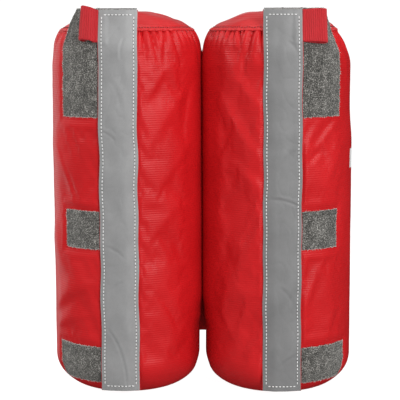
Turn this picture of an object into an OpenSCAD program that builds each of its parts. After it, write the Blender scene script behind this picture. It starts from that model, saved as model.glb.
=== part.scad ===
// Twin-tube weight bag: two sand-filled fabric tubes that stand side by side, joined by a web at the back.
// Millimetres. The origin is on the floor at the middle of the footprint, +Z is up and the front faces -Y.
// Each tube is drawn once, round its own axis with its front at -Y and its neighbour at +X, and mirrored for the right.

/* [Tubes] */
// Outer diameter of each tube
tube_d = 198; // [160:1:230]
// Clear gap between the two tubes at their closest
tube_gap = 6; // [4:0.5:12]
// Height of the lid's seam above the floor
seam_z = 485; // [400:1:580]
// Radius of the rounded corner round the base
corner_r = 46; // [30:1:50]
// Height over which the side curves in below the lid's seam
shoulder_h = 31; // [22:1:40]
// How far the side has curved in at the lid's seam
shoulder_in = 8.5; // [6:0.5:11]
// Rise of the domed lid above its seam
dome_h = 25; // [12:1:30]
// Thickness of the coated fabric
fabric_t = 1.2; // [0.8:0.1:1.6]

/* [Closure flap] */
// Width of the flap and of the reflective tape on it
flap_w = 50; // [40:1:60]
// Angle from straight ahead to the middle of the flap, away from the other tube
flap_turn = 2.5; // [0:0.1:12]
// Height of the flap's lower end above the floor
flap_low_z = 12; // [6:1:24]
// Height of the flap's upper end above the lid's seam
flap_rise = 26; // [10:1:34]
// Lean of the flap and the top patch above the shoulder
top_lean = 15; // [8:1:16]

/* [Hook and loop] */
// Thickness of the loop tape
loop_t = 1.2; // [0.8:0.1:1.6]
// Thickness of the hook tape
hook_t = 0.8; // [0.6:0.1:1.2]
// Lower edge of the top patch above the floor
top_patch_z = 373; // [320:1:400]
// Lower edge of the middle patch above the floor
middle_patch_z = 200; // [160:1:240]
// Height of the middle patch
middle_patch_h = 50; // [38:1:60]
// Upper edge of the bottom patch above the floor
bottom_patch_top_z = 69; // [56:1:90]
// How far the bottom patch follows the rounded corner
bottom_patch_bend = 35; // [10:1:40]
// Angle from straight ahead to the outer edge of the top, middle and bottom patch
patch_edge = [52.5, 50, 61.5]; // [20:0.5:80]

/* [Pull loops] */
// Width of the webbing
webbing_w = 44; // [25:1:50]
// Thickness of the webbing
webbing_t = 1.4; // [1:0.1:2]
// Radius of the loop's rounded outer end
pull_r = 7.5; // [6:0.5:8]
// Reach of the loop past its sewn edge
pull_reach = 29; // [20:1:34]

/* [Web] */
// Width of the web between its two sewn edges
web_w = 62; // [50:1:70]
// Lower and upper end of the web above the floor
web_z = [54, 453]; // [40:1:460]
// Thickness of the doubled web
web_t = 1.2; // [0.8:0.1:1.6]
// Radius of the piping in the web's two edges
piping_r = 1.1; // [0.8:0.1:1.4]

/* [Filling] */
// Height of the sand at the tube's wall
sand_z = 437; // [300:1:440]
// Thickness of the liner's film
liner_t = 0.5; // [0.4:0.1:0.8]
// Radius of the liner's gathered neck
neck_r = 12; // [8:1:16]

/* [Hidden] */
$fn = 96;
side_pieces = [
    "body_panel", "top_panel", "base_panel", "top_seam", "base_seam", "web_seam",
    "top_loop_patch", "middle_loop_patch", "bottom_loop_patch",
    "flap", "reflective_tape", "hook_strips", "pull_loop",
    "liner", "liner_tie", "sand"
];

red = "#c8242a";
silver = "#98999a";
loop_grey = "#5f5f5a";
hook_grey = "#47484a";

tube_r = tube_d / 2;
tube_x = (tube_d + tube_gap) / 2;
base_r = tube_r - corner_r;         // radius where the rounded corner meets the floor
base_panel_r = base_r - 3;          // the base disc, inside its seam
seam_r = tube_r - shoulder_in;      // radius of the lid's seam
shoulder_z = seam_z - shoulder_h;
shoulder_r = (shoulder_in * shoulder_in + shoulder_h * shoulder_h) / (2 * shoulder_in);
shoulder_a = asin(shoulder_h / shoulder_r);
lid_gap = 0.1;                      // between the lid's rim and the top of the side
bead_r = 0.8;                       // cord in the lid's seam
patch_inner = 1;                    // angle from straight ahead to the patches' inner edges
slit_w = 1;                         // opening under the flap
slit_turn = -8;
flap_top_z = seam_z + flap_rise;

// The layers at the flap, measured out from the tube's surface.
sewn_gap = 0.1;
peel_gap = 0.3;
backing_t = 0.7;
tape_t = 0.5;
hook_in = sewn_gap + loop_t + peel_gap;
backing_in = hook_in + hook_t + sewn_gap;
tape_in = backing_in + backing_t + sewn_gap;
front_reach = tube_r + tape_in + tape_t;
tube_y = (front_reach - tube_r) / 2;      // centres the whole footprint on the origin

// The flap hinges about its inner edge, given as its place across the flap and ahead of the tube's axis.
flap_hinge = [flap_w / 2, -ahead(tube_r + backing_in + backing_t / 2)];

// The pull loop swings about the flap's outer edge, above the shoulder, and leans back with it.
pull_neck_r = webbing_t + 0.3;
pull_top_z = flap_top_z + 2;
pull_low_z = pull_top_z - webbing_w * cos(top_lean);
pull_pivot = [
    -flap_w / 2 - pull_neck_r - 0.3,
    -ahead(leaning_r(backing_in + backing_t, pull_low_z)),
    pull_low_z
];

// The web's edges, in the tube's own axes.
web_seam_t = 1.2;
web_axis_r = tube_r + sewn_gap + web_seam_t + 0.3 + piping_r;
web_axis_x = tube_x - web_w / 2;
web_axis_y = sqrt(web_axis_r * web_axis_r - web_axis_x * web_axis_x);
web_seam_turn = 90 + atan2(web_axis_y, web_axis_x);
web_seam_half = 4;

liner_gap = 1.4;

function turned(p, a) = [p[0] * cos(a) - p[1] * sin(a), p[0] * sin(a) + p[1] * cos(a)];
function ahead(r) = sqrt(r * r - flap_w * flap_w / 4);      // distance ahead at the flap's edges
function arc(centre, r, from, to, steps) = [
    for (i = [0 : steps]) centre + r * [cos(from + i * (to - from) / steps), sin(from + i * (to - from) / steps)]
];

// Outline of the tube's side as [radius, height], set in from the fabric's outer surface by t.
function corner(t, lowest = -90) = arc([base_r, corner_r], corner_r - t, lowest, 0, 10);
function shoulder(t, highest) = arc([tube_r - shoulder_r, shoulder_z], shoulder_r - t, 0, highest, 6);
function side(t) = concat([[base_panel_r, t]], corner(t), shoulder(t, shoulder_a));

// Outline of what runs up over the shoulder and then stands proud of the lid, out from the fabric by t.
function up_and_over(t, low_z, high_z) =
    concat([[tube_r + t, low_z]], shoulder(-t, top_lean), [[leaning_r(t, high_z), high_z]]);
function leaning_r(t, z) =
    let (bend = shoulder(-t, top_lean), last = bend[len(bend) - 1])
    last[0] - (z - last[1]) * tan(top_lean);
function reversed(list) = [for (i = [len(list) - 1 : -1 : 0]) list[i]];
function layer(inner, outer) = concat(inner, reversed(outer));

function dome(r) = seam_z + lid_gap + fabric_t + (dome_h - fabric_t) * (1 - pow(r / seam_r, 2.6));

// A teardrop round two circles, the small one at the origin and the big one at -length along X.
module teardrop(big_r, small_r, length) {
    a = acos((big_r - small_r) / length);
    touch = [cos(a), sin(a)];
    mirrored = [cos(a), -sin(a)];
    circle(r = small_r);
    translate([-length, 0]) circle(r = big_r);
    polygon([small_r * touch, big_r * touch - [length, 0], big_r * mirrored - [length, 0], small_r * mirrored]);
}

// A sheet round the tube, from one angle to another. Angles run from straight ahead towards the other tube.
module wrap(from, to) {
    rotate([0, 0, from - 90]) rotate_extrude(angle = to - from) children();
}

// Keeps what is within the flap's width, from x1 to x2 across the flap.
module across_flap(x1, x2) {
    rotate([0, 0, -flap_turn]) intersection() {
        wrap(-30, 30) children();
        translate([x1, -2 * tube_r, 0]) cube([x2 - x1, 2 * tube_r, 2 * seam_z]);
    }
}

module body_panel() {
    color(red) difference() {
        rotate_extrude() polygon(layer(side(fabric_t), side(0)));
        rotate([0, 0, -slit_turn]) translate([-slit_w / 2, -tube_r - 1, corner_r + 6])
            cube([slit_w, 40, seam_z]);
    }
}

module top_panel() {
    steps = 14;
    radii = [for (i = [0 : steps]) seam_r * i / steps];
    color(red) rotate_extrude() polygon(layer(
        [for (r = radii) [r, dome(r) - fabric_t]],
        [for (r = radii) [r, dome(r)]]
    ));
}

module base_panel() {
    color(red) cylinder(r = base_panel_r - sewn_gap, h = fabric_t);
}

module ring(r, z, thick_r) {
    rotate_extrude() translate([r, z]) circle(r = thick_r, $fn = 24);
}

module top_seam() {
    color(red) ring(seam_r + bead_r + 0.1, seam_z + 0.6, bead_r);
}

module base_seam() {
    inside_r = 0.6;
    color(red) ring(base_panel_r, fabric_t + inside_r + 0.1, inside_r);
}

module web_seam() {
    color(red) wrap(web_seam_turn - web_seam_half, web_seam_turn + web_seam_half)
        translate([tube_r + sewn_gap, web_z[0]]) square([web_seam_t, web_z[1] - web_z[0]]);
}

module top_loop_patch() {
    t = sewn_gap;
    color(loop_grey) wrap(-patch_edge[0], patch_inner) polygon(layer(
        up_and_over(t, top_patch_z, pull_top_z),
        up_and_over(t + loop_t, top_patch_z, pull_top_z)
    ));
}

module middle_loop_patch() {
    color(loop_grey) wrap(-patch_edge[1], patch_inner)
        translate([tube_r + sewn_gap, middle_patch_z]) square([loop_t, middle_patch_h]);
}

module bottom_loop_patch() {
    t = sewn_gap;
    color(loop_grey) wrap(-patch_edge[2], patch_inner) polygon(layer(
        concat(corner(-t, -bottom_patch_bend), [[tube_r + t, bottom_patch_top_z]]),
        concat(corner(-t - loop_t, -bottom_patch_bend), [[tube_r + t + loop_t, bottom_patch_top_z]])
    ));
}

// The flap, with a rounded hem that it folds about.
module flap() {
    color(red) {
        across_flap(-flap_w / 2, flap_w / 2) polygon(layer(
            up_and_over(backing_in, flap_low_z, flap_top_z),
            up_and_over(backing_in + backing_t, flap_low_z, flap_top_z)
        ));
        rotate([0, 0, -flap_turn]) translate([flap_hinge[0], flap_hinge[1], flap_low_z])
            cylinder(r = backing_t / 2, h = shoulder_z - flap_low_z);
    }
}

module reflective_tape() {
    color(silver) across_flap(-flap_w / 2, flap_w / 2) polygon(layer(
        up_and_over(tape_in, flap_low_z, flap_top_z),
        up_and_over(tape_in + tape_t, flap_low_z, flap_top_z)
    ));
}

// Three pieces of hook tape on the back of the flap, one over each loop patch.
module hook_strips() {
    inset = 2;
    heights = [
        [corner_r, bottom_patch_top_z - inset],
        [middle_patch_z + inset, middle_patch_z + middle_patch_h - inset]
    ];
    color(hook_grey) across_flap(inset - flap_w / 2, 0) {
        for (h = heights)
            translate([tube_r + hook_in, h[0]]) square([hook_t, h[1] - h[0]]);
        polygon(layer(
            up_and_over(hook_in, top_patch_z + inset, flap_top_z - inset),
            up_and_over(hook_in + hook_t, top_patch_z + inset, flap_top_z - inset)
        ));
    }
}

module pull_loop() {
    length = pull_reach - pull_r;
    color(red) rotate([0, 0, -flap_turn]) translate(pull_pivot) rotate([-top_lean, 0, 0])
        linear_extrude(webbing_w) difference() {
            teardrop(pull_r, pull_neck_r, length);
            teardrop(pull_r - webbing_t, pull_neck_r - webbing_t, length);
        }
}

// Inner bag that holds the sand, gathered into a neck above it.
module liner() {
    outside = fabric_t + liner_gap;
    inside = outside + liner_t;
    wall_z = sand_z + 6;
    cone_z = wall_z + 16;
    tie_z = cone_z + 12;
    tail_z = tie_z + 10;
    bore_r = 2;
    color("whitesmoke") rotate_extrude() polygon(concat(
        [[0, outside]],
        corner(outside),
        [[tube_r - outside, wall_z], [neck_r, cone_z], [neck_r, tie_z], [neck_r + 6, tail_z]],
        [[neck_r + 6 - 2 * liner_t, tail_z], [bore_r, tie_z], [bore_r, cone_z - 1], [tube_r - inside, wall_z - 1]],
        reversed(corner(inside)),
        [[0, inside]]
    ));
}

module liner_tie() {
    band_t = 1.4;
    band_h = 4.6;
    tie_z = sand_z + 26;
    color("black") difference() {
        union() {
            translate([0, 0, tie_z]) cylinder(r = neck_r + sewn_gap + band_t, h = band_h);
            translate([-4, neck_r, tie_z - 1]) cube([8, 6, band_h + 2]);
        }
        translate([0, 0, tie_z - 2]) cylinder(r = neck_r + sewn_gap, h = band_h + 4);
    }
}

module sand() {
    t = fabric_t + liner_gap + liner_t + sewn_gap;
    heap_z = sand_z + 10;
    color("tan") rotate_extrude() polygon(concat(
        [[0, t]],
        corner(t),
        [[tube_r - t, sand_z], [tube_r * 0.55, heap_z - 3], [0, heap_z]]
    ));
}

// A doubled strip of fabric with piping in both edges, which the tubes fold about.
module web_panel() {
    height = web_z[1] - web_z[0];
    color(red) translate([0, tube_y + web_axis_y, web_z[0]]) {
        translate([-web_w / 2, -web_t / 2, 0]) cube([web_w, web_t, height]);
        for (x = [-web_w / 2, web_w / 2])
            translate([x, 0, 0]) cylinder(r = piping_r, h = height, $fn = 32);
    }
}

module piece(name) {
    if (name == "body_panel") body_panel();
    if (name == "top_panel") top_panel();
    if (name == "base_panel") base_panel();
    if (name == "top_seam") top_seam();
    if (name == "base_seam") base_seam();
    if (name == "web_seam") web_seam();
    if (name == "top_loop_patch") top_loop_patch();
    if (name == "middle_loop_patch") middle_loop_patch();
    if (name == "bottom_loop_patch") bottom_loop_patch();
    if (name == "flap") flap();
    if (name == "reflective_tape") reflective_tape();
    if (name == "hook_strips") hook_strips();
    if (name == "pull_loop") pull_loop();
    if (name == "liner") liner();
    if (name == "liner_tie") liner_tie();
    if (name == "sand") sand();
}

for (name = side_pieces) {
    translate([-tube_x, tube_y, 0]) piece(name);
    translate([tube_x, tube_y, 0]) mirror([1, 0, 0]) piece(name);
}
web_panel();

// Where the left tube's folds are, seen from above: on the web, at the flap's inner edge, and the foot
// and the direction of the pull loop's.
echo(rest_face = [-tube_x, tube_y]);
echo(web_fold = [-web_w / 2, tube_y + web_axis_y]);
echo(flap_fold = turned(flap_hinge, -flap_turn) + [-tube_x, tube_y]);
echo(pull_fold = concat(turned(pull_pivot, -flap_turn) + [-tube_x, tube_y], pull_low_z));
echo(pull_fold_direction = concat(turned([0, sin(top_lean)], -flap_turn), cos(top_lean)));
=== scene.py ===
"""Looks for a twin-tube weight bag: two sand-filled nylon tubes, side by side, joined by a web behind.

Metres throughout. A tube is described round its own axis: the angle runs from straight ahead towards
the other tube, and the height from the floor. The right tube is the left one mirrored, with creases
and gathers of its own.
"""

import math
from collections import namedtuple

import bpy
import numpy as np
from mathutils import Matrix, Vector


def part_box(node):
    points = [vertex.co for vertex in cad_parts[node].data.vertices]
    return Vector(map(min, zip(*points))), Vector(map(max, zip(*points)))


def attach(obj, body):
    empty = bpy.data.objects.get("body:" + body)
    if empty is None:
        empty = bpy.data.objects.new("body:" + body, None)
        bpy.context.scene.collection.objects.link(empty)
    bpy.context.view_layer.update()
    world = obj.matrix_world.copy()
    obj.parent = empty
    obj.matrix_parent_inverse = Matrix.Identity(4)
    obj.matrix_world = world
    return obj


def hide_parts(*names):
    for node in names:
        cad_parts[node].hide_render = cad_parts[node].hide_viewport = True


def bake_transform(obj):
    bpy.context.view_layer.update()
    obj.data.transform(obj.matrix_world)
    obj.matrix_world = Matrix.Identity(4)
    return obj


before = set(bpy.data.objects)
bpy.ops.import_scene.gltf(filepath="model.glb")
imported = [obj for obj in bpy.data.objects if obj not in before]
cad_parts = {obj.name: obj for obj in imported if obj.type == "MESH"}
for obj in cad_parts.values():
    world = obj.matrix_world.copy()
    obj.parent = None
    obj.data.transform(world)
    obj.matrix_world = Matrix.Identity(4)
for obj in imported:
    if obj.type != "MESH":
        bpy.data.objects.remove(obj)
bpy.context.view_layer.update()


# ---- Camera ----

def add_camera():
    pitch = math.radians(7.55)
    yaw = math.radians(1.48)
    roll = math.radians(-0.18)
    data = bpy.data.cameras.new("camera")
    data.sensor_width = 36.0
    data.lens = 119.8
    camera = bpy.data.objects.new("camera", data)
    camera.location = (0.0435, -1.8083, 0.4931)
    camera.rotation_euler = (math.pi / 2 - pitch, 0.0, yaw)
    camera.rotation_euler.rotate_axis("Z", roll)
    bpy.context.scene.collection.objects.link(camera)
    bpy.context.scene.camera = camera


add_camera()


# ---- Sizes, read from the CAD model ----

body_low, body_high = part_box("left_body_panel")
lid_low, lid_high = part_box("left_top_panel")
flap_low, flap_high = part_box("left_flap")
web_low, web_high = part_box("web_panel")

tube_r = (body_high.x - body_low.x) / 2
tube_x = -(body_high.x + body_low.x) / 2
tube_y = (body_high.y + body_low.y) / 2
seam_z = body_high.z
seam_r = (lid_high.x - lid_low.x) / 2
lid_top_z = lid_high.z
flap_low_z = flap_low.z
flap_top_z = flap_high.z

# Driving dimensions of part.scad that the boxes don't give.
corner_r = 0.046
shoulder_h = 0.031
flap_w = 0.050
flap_turn = math.radians(2.5)
top_lean = math.radians(15)
webbing_w = 0.044

pull_low_z = flap_top_z + 0.002 - webbing_w * math.cos(top_lean)
shoulder_in = tube_r - seam_r
shoulder_r = (shoulder_in ** 2 + shoulder_h ** 2) / (2 * shoulder_in)
shoulder_z = seam_z - shoulder_h
shoulder_a = math.asin(shoulder_h / shoulder_r)
base_r = tube_r - corner_r

# How far each layer stands out from the tube's side.
PATCH = (0.0001, 0.0013)
HOOK = (0.0016, 0.0024)
BACKING = (0.0025, 0.0032)
TAPE = (0.0033, 0.0038)

Side = namedtuple("Side", "name x toward seed")
SIDES = (Side("left", -tube_x, 1, 11), Side("right", tube_x, -1, 23))

# The stitches in the tape, the lid, the loop patches and the web: pitch, length and thickness.
TAPE_STITCH = (0.0047, 0.0033, 0.0012)
LID_STITCH = (0.0038, 0.0024, 0.0011)
PATCH_STITCH = (0.0034, 0.0022, 0.0009)
WEB_STITCH = (0.0042, 0.0029, 0.0008)
# The dark bars between the tape's stitches, painted shade in the needle holes: pitch, length and thickness.
NEEDLE_HOLE_SHADE = (TAPE_STITCH[0], 0.0014, 0.0011)
TAPE_STITCH_INSET = 0.0044


# ---- Mesh helpers ----

def smoothstep(t):
    t = np.clip(t, 0.0, 1.0)
    return t * t * (3 - 2 * t)


def bump_between(value, low, high, soft):
    """1 between low and high, falling to 0 over the distance soft outside them."""
    return smoothstep((value - low) / soft + 1) * smoothstep((high - value) / soft + 1)


def inside(value, low, high, soft):
    """0 at low and high, rising to 1 over the distance soft inside them."""
    return smoothstep(np.minimum(value - low, high - value) / soft)


def soft_noise(u, v, seed, waves=14):
    """Smooth, repeatable noise of about -1 to 1 over two coordinates, in waves about one unit long."""
    rng = np.random.default_rng(seed)
    total = np.zeros(np.broadcast(u, v).shape)
    for _ in range(waves):
        direction = rng.uniform(0, 2 * math.pi)
        pitch = rng.uniform(0.6, 1.7)
        phase = rng.uniform(0, 2 * math.pi)
        total += np.sin(2 * math.pi * pitch * (u * math.cos(direction) + v * math.sin(direction)) + phase)
    return total / math.sqrt(waves)


def grid_quads(rows, columns, wrap=False):
    """Corner numbers of the quads in a grid of points. With wrap, the last column joins the first."""
    across = np.arange(columns if wrap else columns - 1)
    row, column = np.meshgrid(np.arange(rows - 1), across, indexing="ij")
    here = row * columns + column
    beside = row * columns + (column + 1) % columns
    return np.stack([here, beside, beside + columns, here + columns], axis=-1).reshape(-1, 4)


def make_object(name, points, faces, mirrored=False, crease=35):
    """A mesh object with smooth shading, apart from edges sharper than crease degrees."""
    if mirrored:
        faces = [face[::-1] for face in faces]
    mesh = bpy.data.meshes.new(name)
    points = np.asarray(points, float).reshape(-1, 3).tolist()
    mesh.from_pydata(points, [], [list(map(int, face)) for face in faces])
    mesh.validate()
    mesh.shade_smooth()
    mesh.set_sharp_from_angle(angle=math.radians(crease))
    made = bpy.data.objects.new(name, mesh)
    bpy.context.scene.collection.objects.link(made)
    return made


def slab(inner, outer):
    """Points and faces of a closed sheet between two grids of points."""
    rows, columns = outer.shape[:2]
    count = rows * columns
    quads = grid_quads(rows, columns)
    numbers = np.arange(count).reshape(rows, columns)
    rim = np.concatenate([numbers[0, :], numbers[1:, -1], numbers[-1, -2::-1], numbers[-2:0:-1, 0]])
    ahead = np.roll(rim, -1)
    walls = np.stack([ahead, rim, rim + count, ahead + count], axis=-1)
    faces = np.concatenate([quads, quads[:, ::-1] + count, walls])
    return np.concatenate([outer.reshape(-1, 3), inner.reshape(-1, 3)]), faces


def closed_strip(ring):
    """Points and faces of a solid whose outlines are the rows of ring, closed at both ends."""
    rows, columns = ring.shape[:2]
    quads = [list(quad) for quad in grid_quads(rows, columns, wrap=True)]
    first = list(range(columns))[::-1]
    last = [(rows - 1) * columns + i for i in range(columns)]
    return ring.reshape(-1, 3), quads + [first, last]


def joined(parts):
    """Points and faces of several solids as one."""
    points = []
    faces = []
    count = 0
    for some_points, some_faces in parts:
        points.append(np.asarray(some_points).reshape(-1, 3))
        faces.extend([[int(i) + count for i in face] for face in some_faces])
        count += len(points[-1])
    return np.concatenate(points), faces


def stitch(start, end, outward, thick):
    """One stitch: a rounded bar of thread from start to end, arched a little along outward."""
    around = np.arange(6) * math.pi / 3
    along = end - start
    length = np.linalg.norm(along)
    along = along / length
    across = np.cross(outward, along)
    across = across / np.linalg.norm(across)
    up = np.cross(along, across)
    rings = []
    for t, size in ((0.0, 0.45), (0.12, 0.9), (0.5, 1.0), (0.88, 0.9), (1.0, 0.45)):
        middle = start + along * length * t + up * thick * 0.35 * math.sin(math.pi * t)
        rings.append([middle + thick / 2 * size * (np.cos(a) * across + np.sin(a) * up) for a in around])
    return closed_strip(np.array(rings))


def fibre(root, tip, thick):
    """A single fibre: a thin three-sided bar that tapers to its tip."""
    around = np.arange(3) * 2 * math.pi / 3
    along = (tip - root) / np.linalg.norm(tip - root)
    across = np.cross(along, (0.3, 0.5, 0.8))
    across = across / np.linalg.norm(across)
    up = np.cross(along, across)
    circle = np.cos(around)[:, None] * across + np.sin(around)[:, None] * up
    return closed_strip(np.array([root + thick / 2 * circle, tip + thick / 5 * circle]))


def stitch_row(path, outward, pitch, length, thick, shift=0.0):
    """Stitches along a path of points, with the outward direction at each point.

    A shift moves them all along the path, and leaves out the last one.
    """
    path = np.asarray(path, float)
    outward = np.asarray(outward, float)
    gone = np.concatenate([[0], np.cumsum(np.linalg.norm(np.diff(path, axis=0), axis=1))])
    count = max(1, int(gone[-1] / pitch))
    spare = gone[-1] - count * pitch

    def at(values, distance):
        return np.array([np.interp(distance, gone, values[:, k]) for k in range(3)])

    parts = []
    for i in range(count - 1 if shift else count):
        begin = spare / 2 + i * pitch + (pitch - length) / 2 + shift
        middle = begin + length / 2
        parts.append(stitch(at(path, begin), at(path, begin + length), at(outward, middle), thick))
    return parts


# ---- Places on a tube ----

def place(side, angle, radius, height):
    """Points by angle towards the other tube, distance from the tube's axis, and height."""
    x = side.x + side.toward * radius * np.sin(angle)
    y = tube_y - radius * np.cos(angle)
    return np.stack(np.broadcast_arrays(x, y, height), axis=-1)


def away(side, angle, size=1.0):
    """Level arrows away from the tube's axis, as long as size."""
    return place(side, angle, size, 0.0) - place(side, angle, 0.0, 0.0)


def outer_side(angle, soft):
    """1 on the side away from the other tube, falling to 0 over soft degrees."""
    return bump_between(angle, math.radians(-115), math.radians(-70), math.radians(soft))


def slumped(side, points):
    """Points near the top of a tube, moved towards its axis where its outer shoulder has slumped."""
    most = 0.0115 if side.name == "right" else 0.0020
    start_z = 0.440
    x = (points[..., 0] - side.x) * side.toward
    y = points[..., 1] - tube_y
    radius = np.hypot(x, y)
    move = most * outer_side(np.arctan2(x, -y), 42)
    move = move * smoothstep((points[..., 2] - start_z) / 0.050) * np.clip(radius / seam_r, 0, 1) ** 3
    scale = 1 - move / np.maximum(radius, 0.001)
    return np.stack([side.x + side.toward * x * scale, tube_y + y * scale, points[..., 2]], axis=-1)


def layer_radius(height, proud):
    """Distance from the axis to a layer that runs up the side, over the shoulder and on past the lid."""
    bend_r = shoulder_r + proud
    bend_top_z = shoulder_z + bend_r * math.sin(top_lean)
    centre = tube_r - shoulder_r
    above = np.clip(height - shoulder_z, 0, bend_r * math.sin(top_lean))
    bend = centre + np.sqrt(bend_r ** 2 - above ** 2)
    return bend - np.clip(height - bend_top_z, 0, None) * math.tan(top_lean)


def corner_radius(height, proud):
    """Distance from the axis to a layer over the rounded corner round the base."""
    below = np.clip(corner_r - height, 0, corner_r)
    return base_r + np.sqrt(np.maximum((corner_r + proud) ** 2 - below ** 2, 0))


def on_flap(side, across, height, proud):
    """Points on a layer of the flap. Across is positive towards the other tube."""
    radius = layer_radius(height, proud)
    return place(side, np.arcsin(across / radius) - flap_turn, radius, height)


def side_outline():
    """The tube's side, from the middle of its base to under its lid: radius, height, outward direction."""
    recess_r = base_r - 0.003
    recess_z = 0.0022
    rows = [(r, recess_z, 0, -1) for r in np.linspace(0.004, recess_r - 0.001, 8)]
    rows += [(recess_r, 0.0012, 0, -1), (recess_r + 0.0006, 0.0003, 0, -1)]

    def arc(centre_r, centre_z, radius, angles):
        return [
            (centre_r + radius * math.cos(a), centre_z + radius * math.sin(a), math.cos(a), math.sin(a))
            for a in angles
        ]

    rows += arc(base_r, corner_r, corner_r, np.linspace(-math.pi / 2, 0, 18))
    for z in np.linspace(corner_r, shoulder_z, 172)[1:]:
        rows.append((tube_r, z, 1, 0))
    rows += arc(tube_r - shoulder_r, shoulder_z, shoulder_r, np.linspace(0, shoulder_a, 26)[1:])
    rows += [(r, seam_z - 0.0004, 0, 1) for r in (seam_r - 0.004, seam_r - 0.02, seam_r / 2, 0.004)]
    return np.array(rows)


# ---- Creases and gathers in the sleeve ----

# Where a tube's loop patches are: widest angle, lower and upper edge.
PATCHES = {
    "top": (math.radians(52.5), 0.373, 0.513),
    "middle": (math.radians(50), 0.200, 0.250),
    "bottom": (math.radians(61.5), None, 0.069),
}
PATCH_INNER = math.radians(1)
BOTTOM_BEND = math.radians(35)
WEB_SEAM = math.radians(135.7)
WEB_SEAM_HALF = math.radians(4)

# Creases: the angle in degrees and height of each end, the width, and the depth, which is
# negative where the crease stands proud. CREASE_STRENGTH scales every depth. The steep side is on the
# right of the way from the first end to the second, seen from outside the left tube.
CREASE_STRENGTH = 2.1
CREASES = {
    "left": [
        (-45, 0.290, -64, 0.362, 0.013, -0.0032),
        (-52, 0.165, -70, 0.232, 0.011, -0.0020),
        (-68, 0.110, -27, 0.154, 0.008, -0.0030),
        (-66, 0.088, -29, 0.110, 0.007, -0.0026),
        (-66, 0.352, -38, 0.262, 0.006, 0.0012),
        (17, 0.326, 50, 0.402, 0.011, -0.0020),
        (28, 0.280, 62, 0.342, 0.011, -0.0019),
        (20, 0.392, 36, 0.440, 0.007, -0.0012),
        (52, 0.330, 64, 0.420, 0.007, 0.0010),
        (24, 0.218, 48, 0.262, 0.010, -0.0013),
        (20, 0.150, 44, 0.090, 0.008, 0.0010),
        (110, 0.400, 150, 0.300, 0.010, 0.0016),
        (-110, 0.420, -140, 0.280, 0.009, 0.0016),
        (-160, 0.250, -110, 0.180, 0.010, 0.0015),
        (170, 0.150, 200, 0.090, 0.008, 0.0013),
    ],
    "right": [
        (46, 0.462, 9, 0.376, 0.012, -0.0016),
        (47, 0.404, 6, 0.305, 0.010, -0.0018),
        (36, 0.314, 6, 0.274, 0.009, -0.0015),
        (-56, 0.338, -32, 0.262, 0.012, -0.0017),
        (-54, 0.378, -27, 0.334, 0.005, 0.0015),
        (-36, 0.330, -22, 0.312, 0.005, 0.0012),
        (-112, 0.380, -150, 0.300, 0.010, 0.0016),
        (112, 0.410, 142, 0.260, 0.010, 0.0016),
        (160, 0.260, 205, 0.170, 0.010, 0.0015),
        (-170, 0.130, -120, 0.100, 0.008, 0.0013),
    ],
}


def crease_line(x, z, run, bow):
    """Places along a crease, -1 to 1, and distances off its bowed line, for points given from its middle."""
    length = np.linalg.norm(run)
    run = run / length
    along = (x * run[0] + z * run[1]) / (length / 2)
    return along, z * run[0] - x * run[1] - bow * length * (1 - along ** 2)


def crease_field(side, angle, height):
    """Inward depth of the creases. Each fades at its ends, and falls faster on its steep side."""
    depth = np.zeros(np.broadcast(angle, height).shape)
    for a1, z1, a2, z2, width, deep in CREASES[side.name]:
        turn = (angle - math.radians((a1 + a2) / 2) + math.pi) % (2 * math.pi) - math.pi
        run = np.array([math.radians(a2 - a1) * tube_r, z2 - z1])
        along, off = crease_line(turn * tube_r, height - (z1 + z2) / 2, run, 0.06)
        # A ridge, which stands proud, has softer sides than a valley.
        steep = 0.65 if deep > 0 else 0.95
        spread = np.where(off < 0, steep * width, 1.9 * width)
        fade = smoothstep(1.25 - np.abs(along))
        depth += CREASE_STRENGTH * deep * fade * np.exp(-(np.abs(off) / spread) ** 1.6)
    return depth


def gather_places(side):
    """The gathers that ease the side into the lid: angle, depth, reach down the side and lean of each."""
    rng = np.random.default_rng(side.seed)
    places = []
    angle = -math.pi
    while angle < math.pi - math.radians(3):
        angle += math.radians(rng.uniform(3.5, 10.0))
        long = rng.random() < 0.4
        reach = rng.uniform(0.030, 0.052) if long else rng.uniform(0.012, 0.020)
        depth = rng.uniform(0.7, 1.0) if long else rng.uniform(0.4, 0.9)
        places.append((angle, depth, reach, rng.uniform(-0.35, 0.35)))
    return places


def gather_field(side, angle, height):
    """Inward depth of the gathers: narrow and deep at the lid, wider and shallower further down."""
    below = np.clip(seam_z - height, 0, None)
    strength = 0.0086 if side.name == "right" else 0.0062
    depth = np.zeros(np.broadcast(angle, height).shape)
    for middle, deep, reach, lean in gather_places(side):
        turn = (angle - middle + math.pi) % (2 * math.pi) - math.pi
        off = turn * tube_r - lean * below
        width = 0.0022 + 0.10 * below
        fade = np.exp(-(below / reach) ** 1.5)
        depth = np.maximum(depth, strength * deep * fade * np.exp(-(np.abs(off) / width) ** 1.3))
    puckers = soft_noise(np.cos(angle) * tube_r / 0.006, np.sin(angle) * tube_r / 0.006, side.seed + 4)
    depth = depth + 0.0007 * puckers * np.exp(-(below / 0.009) ** 1.5)
    puff = 0.0022 * np.exp(-((below - 0.012) / 0.014) ** 2)
    return depth - puff


def under_cover(angle, height):
    """1 where the flap, a loop patch or the web's seam holds the sleeve flat, and 0 elsewhere."""
    soft = 0.010
    arc = angle * tube_r
    half = flap_w / 2
    middle = -flap_turn * tube_r
    cover = bump_between(arc, middle - half, middle + half - 0.001, 0.006)
    for widest, low, high in PATCHES.values():
        low = 0.0 if low is None else low
        patch = bump_between(arc, -widest * tube_r, 0, soft) * bump_between(height, low, high, soft)
        cover = np.maximum(cover, patch)
    seam_low = (WEB_SEAM - WEB_SEAM_HALF) * tube_r
    seam_high = (WEB_SEAM + WEB_SEAM_HALF) * tube_r
    seam = bump_between(arc, seam_low, seam_high, 0.008)
    seam = seam * bump_between(height, web_low.z, web_high.z, 0.01)
    return np.maximum(cover, seam)


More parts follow.
